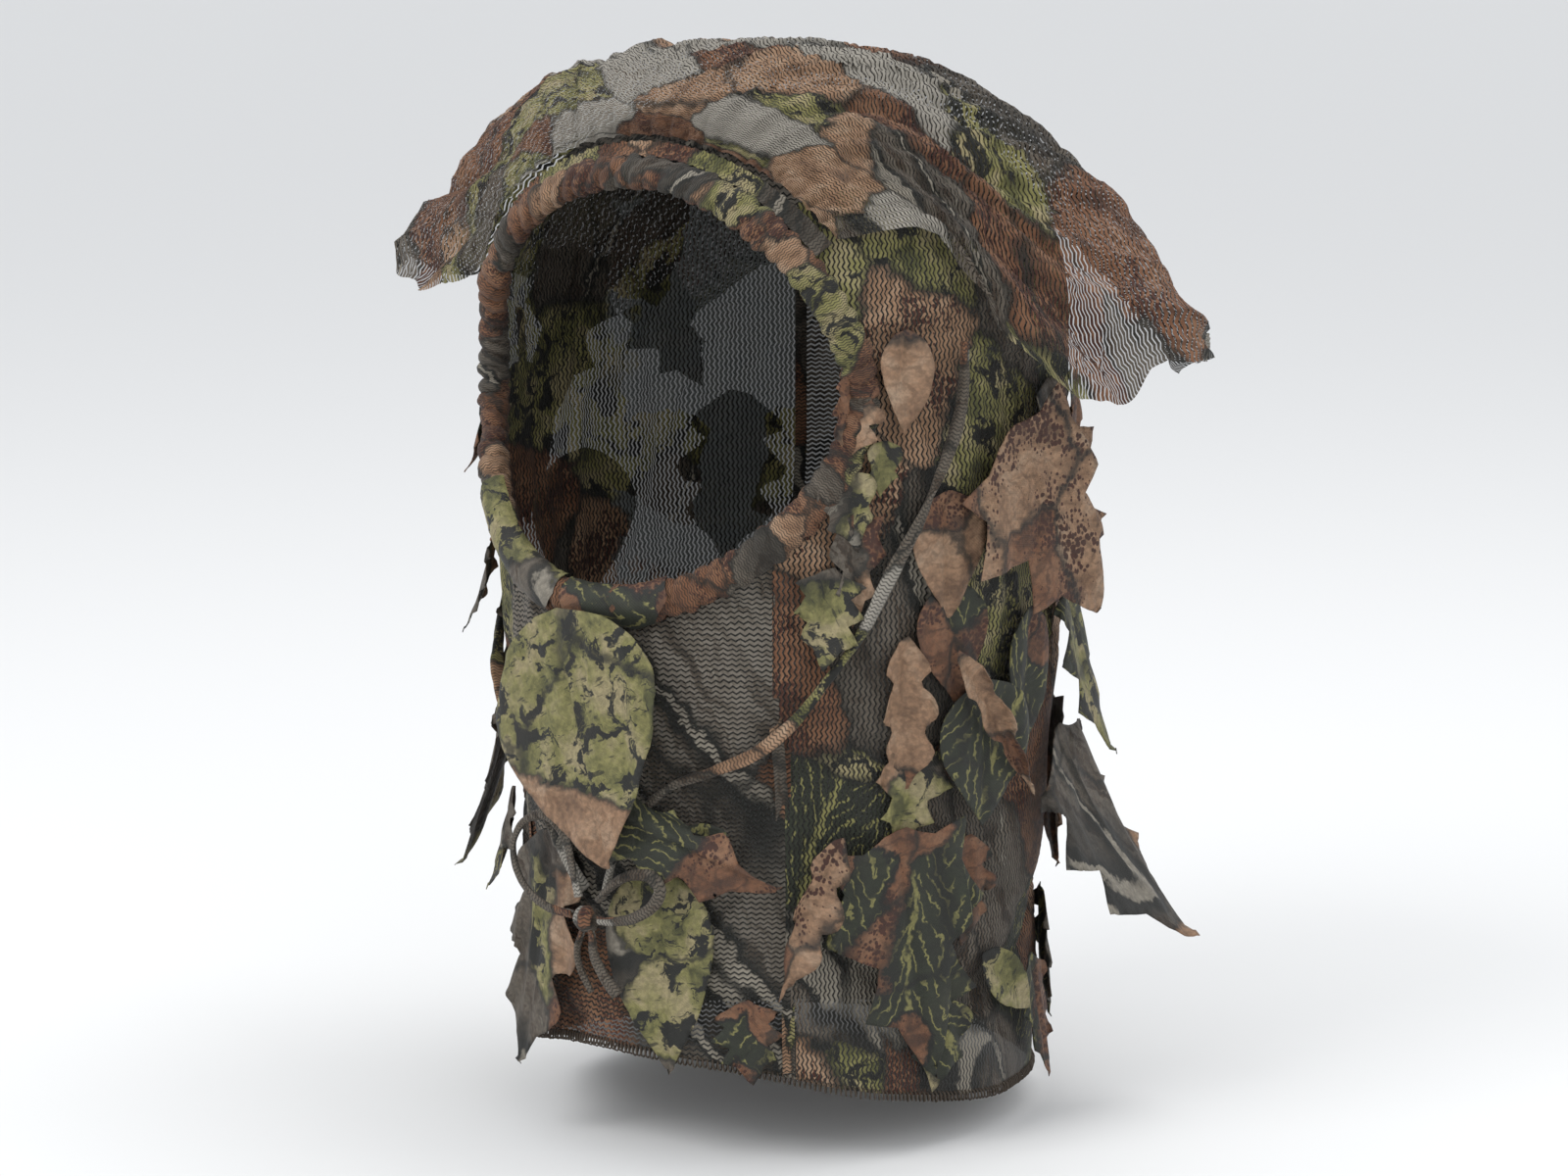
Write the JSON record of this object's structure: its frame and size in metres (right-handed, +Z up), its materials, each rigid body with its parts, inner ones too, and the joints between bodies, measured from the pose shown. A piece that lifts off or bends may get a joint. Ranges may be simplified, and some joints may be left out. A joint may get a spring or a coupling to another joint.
{
  "type": "camouflage face mask",
  "caption": "Open-mesh camouflage hood with a gathered face opening, cut-out cloth leaves sewn all over, a chin tie and a loose mesh flap over the crown.",
  "frame": {"origin": "where the top of the wearer's head meets the inside of the crown", "axes": "+Z up, the face opening faces -Y, +X is the wearer's left"},
  "size_m": [0.3891, 0.2721, 0.4397],
  "materials": {
    "mesh_camo": "open knitted mesh, printed in leaves and bark",
    "casing_rust": "gathered printed mesh",
    "elastic_black": "braided elastic",
    "thread_brown": "overlock thread and binding",
    "tie_camo": "folded strip of printed mesh",
    "leaf_moss": "thin printed woven cloth, cut edge",
    "leaf_green": "thin printed woven cloth, cut edge",
    "leaf_fern": "thin printed woven cloth, cut edge",
    "leaf_bark": "thin printed woven cloth, cut edge",
    "leaf_rust": "thin printed woven cloth, cut edge",
    "leaf_tan": "thin printed woven cloth, cut edge",
    "leaf_speckled": "thin printed woven cloth, cut edge"
  },
  "bodies": {
    "hood": {"bib_panel": "mesh_camo", "bib_seam_left": "thread_brown", "bib_seam_right": "thread_brown", "bow_knot": "tie_camo", "bow_loop_left": "tie_camo", "bow_loop_right": "tie_camo", "bow_tail_left": "tie_camo", "bow_tail_right": "tie_camo", "brow_binding": "thread_brown", "centre_panel": "mesh_camo", "crown_seam_left": "thread_brown", "crown_seam_right": "thread_brown", "face_casing": "casing_rust", "face_elastic": "elastic_black", "hem_overlock": "thread_brown", "leaf_back_nape": "leaf_tan", "leaf_bib_bark": "leaf_bark", "leaf_bib_moss": "leaf_moss", "leaf_bib_rust": "leaf_rust", "leaf_cheek_grey": "leaf_bark", "leaf_cheek_rolled": "leaf_tan", "leaf_cheek_round": "leaf_bark", "leaf_chin_low": "leaf_rust", "leaf_hem_fern": "leaf_fern", "leaf_hem_rust": "leaf_rust", "leaf_jaw_crumpled": "leaf_speckled", "leaf_left_ear": "leaf_bark", "leaf_left_fern": "leaf_fern", "leaf_left_rust": "leaf_rust", "leaf_left_shade": "leaf_rust", "leaf_right_low": "leaf_bark", "leaf_temple_moss": "leaf_green", "leaf_temple_tan": "leaf_tan", "side_panel_left": "mesh_camo", "side_panel_right": "mesh_camo", "tie_left": "tie_camo", "tie_right": "tie_camo"},
    "crown_flap": {"crown_flap": "mesh_camo"},
    "chin_leaf": {"leaf_chin": "leaf_moss"},
    "right_rim_leaf": {"leaf_right_rim": "leaf_rust"},
    "right_cheek_leaf": {"leaf_right_cheek": "leaf_bark"},
    "right_jaw_leaf": {"leaf_right_jaw": "leaf_green"},
    "left_front_leaf": {"leaf_left_front": "leaf_rust", "leaf_front_curled": "leaf_tan"},
    "left_cheek_leaf": {"leaf_left_cheek": "leaf_speckled"},
    "left_rear_leaf": {"leaf_left_rear": "leaf_green"},
    "left_spread_leaf": {"leaf_left_spread": "leaf_bark"},
    "back_hem_leaf": {"leaf_back_hem": "leaf_green"},
    "back_low_leaf": {"leaf_back_low": "leaf_speckled"},
    "back_centre_leaf": {"leaf_back_centre": "leaf_moss"},
    "back_high_leaf": {"leaf_back_high": "leaf_bark"},
    "back_crown_leaf": {"leaf_back_crown": "leaf_rust"},
    "rear_side_leaf": {"leaf_rear_side": "leaf_green"},
    "rear_high_leaf": {"leaf_rear_high": "leaf_moss"},
    "rear_neck_leaf": {"leaf_rear_neck": "leaf_speckled"},
    "rear_hem_leaf": {"leaf_rear_hem": "leaf_green"},
    "rear_nape_leaf": {"leaf_rear_nape": "leaf_tan"},
    "side_hem_leaf": {"leaf_side_hem": "leaf_moss"},
    "side_low_leaf": {"leaf_side_low": "leaf_bark"},
    "side_neck_leaf": {"leaf_side_neck": "leaf_rust"}
  },
  "joints": [
    {"name": "crown_flap_lift", "type": "hinge", "parent": "hood", "child": "crown_flap", "pos_m": [0, -0.125, -0.0438], "axis": [1, 0, 0], "range_deg": [0, 95]},
    {"name": "chin_lift", "type": "hinge", "parent": "hood", "child": "chin_leaf", "pos_m": [-0.01977, -0.13462, -0.20647], "axis": [-0.9339, 0.1842, -0.3065], "range_deg": [0, 70]},
    {"name": "right_rim_lift", "type": "hinge", "parent": "hood", "child": "right_rim_leaf", "pos_m": [-0.10412, -0.06556, -0.1268], "axis": [-0.4673, 0.8841, 0.0001], "range_deg": [0, 45]},
    {"name": "right_cheek_lift", "type": "hinge", "parent": "hood", "child": "right_cheek_leaf", "pos_m": [-0.09857, -0.07251, -0.18686], "axis": [-0.5268, 0.8431, 0.1083], "range_deg": [0, 45]},
    {"name": "right_jaw_lift", "type": "hinge", "parent": "hood", "child": "right_jaw_leaf", "pos_m": [-0.1005, -0.06075, -0.24888], "axis": [-0.4564, 0.883, 0.1093], "range_deg": [0, 50]},
    {"name": "left_front_lift", "type": "hinge", "parent": "hood", "child": "left_front_leaf", "pos_m": [0.10023, -0.0603, -0.29495], "axis": [-0.4508, -0.8751, -0.176], "range_deg": [0, 55]},
    {"name": "left_cheek_lift", "type": "hinge", "parent": "hood", "child": "left_cheek_leaf", "pos_m": [0.12528, -0.01905, -0.13508], "axis": [-0.1235, -0.7783, -0.6157], "range_deg": [0, 55]},
    {"name": "left_rear_lift", "type": "hinge", "parent": "hood", "child": "left_rear_leaf", "pos_m": [0.10781, 0.05235, -0.1989], "axis": [0.3595, -0.9179, -0.1681], "range_deg": [0, 50]},
    {"name": "left_spread_lift", "type": "hinge", "parent": "hood", "child": "left_spread_leaf", "pos_m": [0.10737, 0.04709, -0.26901], "axis": [0.322, -0.9066, -0.2729], "range_deg": [0, 30]},
    {"name": "back_hem_lift", "type": "hinge", "parent": "hood", "child": "back_hem_leaf", "pos_m": [0.07941, 0.08075, -0.34682], "axis": [0.6444, -0.7577, -0.103], "range_deg": [0, 60]},
    {"name": "back_low_lift", "type": "hinge", "parent": "hood", "child": "back_low_leaf", "pos_m": [0.0319, 0.11375, -0.33683], "axis": [0.9439, -0.3127, 0.1056], "range_deg": [0, 60]},
    {"name": "back_centre_lift", "type": "hinge", "parent": "hood", "child": "back_centre_leaf", "pos_m": [0.00408, 0.12736, -0.2309], "axis": [0.9892, -0.0491, -0.1382], "range_deg": [0, 60]},
    {"name": "back_high_lift", "type": "hinge", "parent": "hood", "child": "back_high_leaf", "pos_m": [0.07237, 0.10474, -0.16087], "axis": [0.76, -0.6359, -0.1341], "range_deg": [0, 60]},
    {"name": "back_crown_lift", "type": "hinge", "parent": "hood", "child": "back_crown_leaf", "pos_m": [-0.03316, 0.12611, -0.12684], "axis": [0.9481, 0.3009, 0.1028], "range_deg": [0, 60]},
    {"name": "rear_side_lift", "type": "hinge", "parent": "hood", "child": "rear_side_leaf", "pos_m": [-0.11899, 0.01824, -0.16287], "axis": [0.1353, 0.9753, -0.1747], "range_deg": [0, 60]},
    {"name": "rear_high_lift", "type": "hinge", "parent": "hood", "child": "rear_high_leaf", "pos_m": [-0.08936, 0.08775, -0.14085], "axis": [0.6365, 0.7678, -0.0732], "range_deg": [0, 60]},
    {"name": "rear_neck_lift", "type": "hinge", "parent": "hood", "child": "rear_neck_leaf", "pos_m": [-0.0964, 0.07091, -0.23689], "axis": [0.5202, 0.8517, 0.0634], "range_deg": [0, 60]},
    {"name": "rear_hem_lift", "type": "hinge", "parent": "hood", "child": "rear_hem_leaf", "pos_m": [-0.05465, 0.10322, -0.33283], "axis": [0.8446, 0.5306, -0.0716], "range_deg": [0, 60]},
    {"name": "rear_nape_lift", "type": "hinge", "parent": "hood", "child": "rear_nape_leaf", "pos_m": [-0.05242, 0.11218, -0.24489], "axis": [0.8745, 0.4833, -0.0402], "range_deg": [0, 60]},
    {"name": "side_hem_lift", "type": "hinge", "parent": "hood", "child": "side_hem_leaf", "pos_m": [-0.0987, 0.05019, -0.33882], "axis": [0.393, 0.9188, -0.0363], "range_deg": [0, 60]},
    {"name": "side_low_lift", "type": "hinge", "parent": "hood", "child": "side_low_leaf", "pos_m": [-0.10866, -0.01455, -0.32883], "axis": [-0.1132, 0.9911, 0.0703], "range_deg": [0, 60]},
    {"name": "side_neck_lift", "type": "hinge", "parent": "hood", "child": "side_neck_leaf", "pos_m": [-0.11431, 0.00435, -0.25288], "axis": [0.0364, 0.9969, -0.07], "range_deg": [0, 60]}
  ]
}
